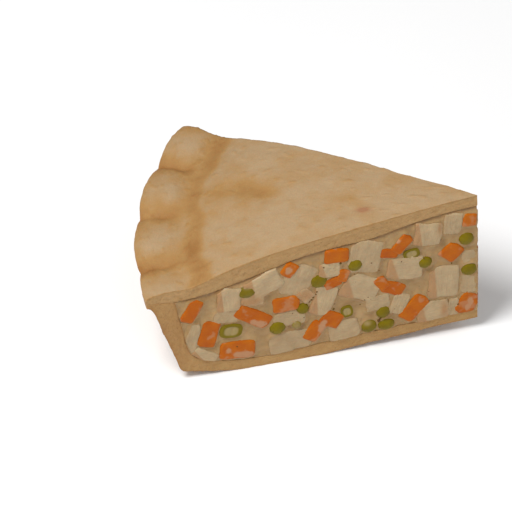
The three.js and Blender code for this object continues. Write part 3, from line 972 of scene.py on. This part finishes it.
sauceLook = {
    "surface": surface(0.12, 1.0, 0.35),
    "tone": {"Tint": 0.5, "Dark": linear(134, 101, 54), "Light": linear(166, 135, 91), "Patch Size": 6.0,
             "Wet": 0.3, "Dry": 0.5},
    # painted shade: the sauce just under the lid is darkened towards this colour
    "gravy": linear(126, 90, 50), "underLidShadeShare": 0.8, "bump": (0.2, 0.4),
    "relief": {"Climb": 0.85 * mm, "Climb Width": 0.7 * mm, "Lumps": 0.9 * mm, "Roof Drop": 0.4 * mm,
               "Tip Fill": 0.85 * mm, "Crust Share": 0.45},
}


def sauceMesh():
    fractions, faces = boxLattice(sauceShape["grid"])
    along, across, up = fractions.T
    floor, roof = crustShape["shellInner"], crustShape["lidUnder"]
    foot, top, roofEnd = (sauceShape[row] for row in ("wallFootRow", "wallTopRow", "roofEndRow"))
    sunk = sauceShape["sunk"] * mm
    deeper = np.stack([sunk * along, 0 * along - sunk], axis=-1)
    low = alongSection(floor, along * foot / (len(floor) - 1)) + deeper
    high = alongSection(roof, along * roofEnd / (len(roof) - 1)) + deeper * (1, 0)
    wall = alongSection(floor, (foot + (top - foot) * up) / (len(floor) - 1))
    chord = np.array(floor[foot]) + (np.array(roof[roofEnd]) - np.array(floor[foot])) * up[:, None]
    # the end of the block follows the wall's curve instead of a straight chord
    place = low + (high - low) * up[:, None] + (along ** 8)[:, None] * (wall - chord * mm)
    radius, angle = place[:, 0], angleAcross(across)
    shift = pieceRules["sauceSetback"] * mm / math.sin(halfAngle)
    reach = np.sqrt(np.maximum(radius ** 2 - (shift * np.sin(angle)) ** 2, 0))
    inPlan = np.maximum(reach - shift * np.cos(angle), tipTrim)
    places = aroundTip(inPlan, angle, place[:, 1])
    places[:, 0] -= shift
    belowRoof = (1 - up) * (high - low)[:, 1]
    # the band of sauce just under the lid drops back a little and its colour carries painted shade
    return meshFrom("sauceBase", places, faces, {
        "cut": cutSides(across), "gravy": 1 - smoothStep(belowRoof, 0.3 * mm, 2.6 * mm)})


def sauceTree():
    # the sauce climbs a little against each piece and lies in soft lumps between them
    tree, given, out = startRelief(
        "sauceSkin", Object=["Carrots", "Chicken", "Peas", "Crust"], Vector=["Tip"],
        Float=["Half Angle", "Climb", "Climb Width", "Lumps", "Roof Drop", "Tip Fill", "Crust Share"])
    position = put(tree, "GeometryNodeInputPosition").outputs[0]
    climb = None
    for label, share in (("Carrots", 1.0), ("Chicken", 1.0), ("Peas", 1.0), ("Crust", given["Crust Share"])):
        target = put(tree, "GeometryNodeObjectInfo", {"Object": given[label]}).outputs["Geometry"]
        distance = put(tree, "GeometryNodeProximity", {0: target}, target_element="FACES").outputs["Distance"]
        fade = product(tree, calc(tree, "DIVIDE", distance, given["Climb Width"]), -1.0)
        near = product(tree, calc(tree, "EXPONENT", fade), share)
        climb = near if climb is None else calc(tree, "MAXIMUM", climb, near)
    cut = readAttribute(tree, "cut")
    lumps = centred(tree, noiseAt(tree, position, 330.0))
    ripples = centred(tree, noiseAt(tree, position, 900.0, 1.0))
    lumps = calc(tree, "MULTIPLY_ADD", ripples, 0.35, lumps)
    under = product(tree, readAttribute(tree, "gravy"), given["Roof Drop"])
    move = calc(tree, "MULTIPLY_ADD", lumps, given["Lumps"], product(tree, climb, given["Climb"]))
    move = product(tree, calc(tree, "SUBTRACT", move, under), calc(tree, "ABSOLUTE", cut))
    backFromTip = put(tree, "ShaderNodeSeparateXYZ", {
        0: vectorCalc(tree, "SUBTRACT", given["Tip"], position)}).outputs[0]
    reach = ramp(tree, backFromTip, 1.0 * mm, 7 * mm, 1.0, 0.0)
    forwards = vectorOf(tree, product(tree, reach, given["Tip Fill"]))
    outwards = scaled(tree, outOfCutNodes(tree, given["Half Angle"], cut), move)
    offset = vectorCalc(tree, "ADD", outwards, forwards)
    return endRelief(tree, given, out, moveBy(tree, given["Geometry"], offset))


def sauceMaterial(look):
    material, tree, shader, tone = startMoist("creamSauce", look)
    # painted shade: the sauce darkens in the band just under the lid
    gravy = product(tree, attributeValue(tree, "gravy"), look["underLidShadeShare"])
    colour = mixColours(tree, gravy, tone.outputs["Color"], look["gravy"])
    finishMaterial(tree, shader, colour, tone, look["bump"])
    return material


sauce = bakeTree(addPiece("sauce", sauceMesh()), sauceTree(), {
    "Half Angle": halfAngle, "Tip": tip, "Carrots": carrots, "Chicken": chicken, "Peas": peas,
    "Crust": bottomCrust, "Material": sauceMaterial(sauceLook), **sauceLook["relief"]})
softenEdges(sauce, 2)
keepInside(sauce)
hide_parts("filling")
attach(sauce, "root")
print("sauce done")

# pepper and herb specks on the cut faces: radius, height and half width of the larger ones
speckPlaces = [
    (60.4, 32.3, 0.5), (60.9, 31, 0.7), (61.9, 29.8, 0.6), (62.3, 28.5, 0.75), (63.3, 27.4, 0.55),
    (51.7, 43.8, 0.75), (40, 41.3, 0.5), (54.2, 21.7, 0.6), (44, 21.2, 0.65), (7.6, 13.8, 0.6),
    (90.5, 12.3, 0.55), (14.2, 46.7, 0.5), (10, 34, 0.45), (37.2, 11.9, 1.0), (36.6, 13.2, 0.6),
    (46.3, 37.2, 0.45), (58, 43.6, 0.55),
]
looseSpecks = {
    "count": 22, "reach": (8, 104), "low": 12, "high": 48, "slope": 0.25, "size": (0.22, 0.42), "seed": 21}
speckLook = {
    "surface": {"Roughness": 0.7, "Specular IOR Level": 0.1}, "sunk": 0.35, "castFrom": 6, "castReach": 9,
    "tone": {"Tint": 0.4, "Dark": linear(88, 56, 30), "Light": linear(108, 88, 40), "Patch Size": 9.0},
    "stretch": ((0.7, 0.7, 0.45), (1.3, 1.1, 0.8)), "seed": 4,
}


def speckTree():
    tree, given, out = startRelief("scatterSpecks", Int=["Seed"])

    def randomVector(low, high):
        return put(tree, "FunctionNodeRandomValue", {0: low, 1: high, "Seed": given["Seed"]},
                   data_type="FLOAT_VECTOR").outputs[0]

    ball = put(tree, "GeometryNodeMeshIcoSphere", {"Radius": 1.0, "Subdivisions": 1}).outputs[0]
    turned = put(tree, "FunctionNodeEulerToRotation", {0: randomVector((0, 0, 0), (6, 6, 6))}).outputs[0]
    size = scaled(tree, randomVector(*speckLook["stretch"]), readAttribute(tree, "size"))
    placed = put(tree, "GeometryNodeInstanceOnPoints", {
        "Points": given["Geometry"], "Instance": ball, "Rotation": turned, "Scale": size}).outputs[0]
    return endRelief(tree, given, out, placed)


def wantedSpecks():
    draw = seededDraws(looseSpecks["seed"])
    wanted = [(-1, radius, height, size) for radius, height, size in speckPlaces]
    wanted += [(1, radius + 3, height - 1, size) for radius, height, size in speckPlaces]
    nearest, farthest = looseSpecks["reach"]
    least, most = looseSpecks["size"]
    for side in (-1, 1):
        for count in range(looseSpecks["count"]):
            radius = nearest + (farthest - nearest) * next(draw)
            room = looseSpecks["high"] - looseSpecks["low"] - looseSpecks["slope"] * radius
            height = looseSpecks["low"] + room * next(draw)
            wanted.append((side, radius, height, least + (most - least) * next(draw)))
    return wanted


def speckMesh():
    # each speck lies on whatever shows at its place on the cut
    layers = [BVHTree.FromPolygons([vertex.co for vertex in piece.data.vertices],
                                   [face.vertices for face in piece.data.polygons])
              for piece in (carrots, chicken, peas, sauce)]
    places, sizes = [], []
    for side, radius, height, size in wantedSpecks():
        outwards = outOfCut(side)
        start = Vector(aroundTip(radius * mm, side * halfAngle, height * mm))
        start += outwards * speckLook["castFrom"] * mm
        hits = [layer.ray_cast(start, -outwards, speckLook["castReach"] * mm) for layer in layers]
        hits = [hit for hit in hits if hit[0] is not None]
        if hits:
            places.append(min(hits, key=lambda hit: hit[3])[0] - outwards * size * speckLook["sunk"] * mm)
            sizes.append(size * mm)
    mesh = bpy.data.meshes.new("speckPoints")
    mesh.from_pydata(places, [], [])
    setAttribute(mesh, "size", sizes)
    return mesh


def speckMaterial(look):
    material, tree, shader, tone = startMoist("pepperSpeck", look)
    feed(tree, shader, {"Base Color": tone.outputs["Color"]})
    return material


pepper = bakeTree(addPiece("pepper", speckMesh()), speckTree(), {
    "Seed": speckLook["seed"], "Material": speckMaterial(speckLook)})
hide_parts("filling")
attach(pepper, "root")
print("specks done")

# floor, light and camera

studio = {
    "floorSize": 6.0, "floorTones": (0.9, 0.93), "worldStrength": 0.4, "lightAim": (0, 0, 0.03),
    "key": ((-0.35, -0.4, 1.0), 0.5, 11.5), "fill": ((0.7, -0.7, 0.5), 0.9, 2.1),  # place, size, power
    "cameraAzimuth": 7.816, "cameraElevation": 42.4, "viewWidth": 0.1855, "cameraDistance": 0.8,
    "aimRight": -18.52 * mm, "aimUp": 20.21 * mm,
}


def addFloor():
    size = studio["floorSize"]
    mesh = bpy.data.meshes.new("floor")
    corners = [(-size, -size, 0), (size, -size, 0), (size, size, 0), (-size, size, 0)]
    mesh.from_pydata(corners, [], [(0, 1, 2, 3)])
    floor = addPiece("floor", mesh)
    material, tree, shader = startMaterial("paleFloor", {"Roughness": 0.9})
    place = put(tree, "ShaderNodeTexCoord").outputs["Object"]
    shade = ramp(tree, noiseAt(tree, place, 3.0), 0.3, 0.7)
    darker, lighter = ((tone, tone, tone, 1) for tone in studio["floorTones"])
    feed(tree, shader, {"Base Color": mixColours(tree, shade, darker, lighter)})
    mesh.materials.append(material)


def addLight(name):
    place, size, power = studio[name]
    light = bpy.data.lights.new(name, "AREA")
    light.shape = "DISK"
    light.size = size
    light.energy = power
    lamp = bpy.data.objects.new(name, light)
    bpy.context.scene.collection.objects.link(lamp)
    lamp.location = place
    lamp.rotation_euler = (Vector(studio["lightAim"]) - Vector(place)).to_track_quat("-Z", "Y").to_euler()


def addCamera():
    azimuth, elevation = math.radians(studio["cameraAzimuth"]), math.radians(studio["cameraElevation"])
    right = Vector((math.cos(azimuth), math.sin(azimuth), 0))
    back = Vector((math.sin(azimuth) * math.cos(elevation), -math.cos(azimuth) * math.cos(elevation),
                   math.sin(elevation)))
    up = back.cross(right)
    camera = bpy.data.cameras.new("camera")
    camera.type = "ORTHO"
    camera.ortho_scale = studio["viewWidth"]
    view = bpy.data.objects.new("camera", camera)
    bpy.context.scene.collection.objects.link(view)
    view.location = right * studio["aimRight"] + up * studio["aimUp"] + back * studio["cameraDistance"]
    view.rotation_euler = back.to_track_quat("Z", "Y").to_euler()
    bpy.context.scene.camera = view


def addWorld():
    world = bpy.data.worlds.new("studio")
    world.use_nodes = True
    background = world.node_tree.nodes["Background"]
    background.inputs["Color"].default_value = (1, 1, 1, 1)
    background.inputs["Strength"].default_value = studio["worldStrength"]
    bpy.context.scene.world = world


addFloor()
addLight("key")
addLight("fill")
addWorld()
addCamera()
bpy.context.scene.view_settings.view_transform = "Standard"
print("studio done")
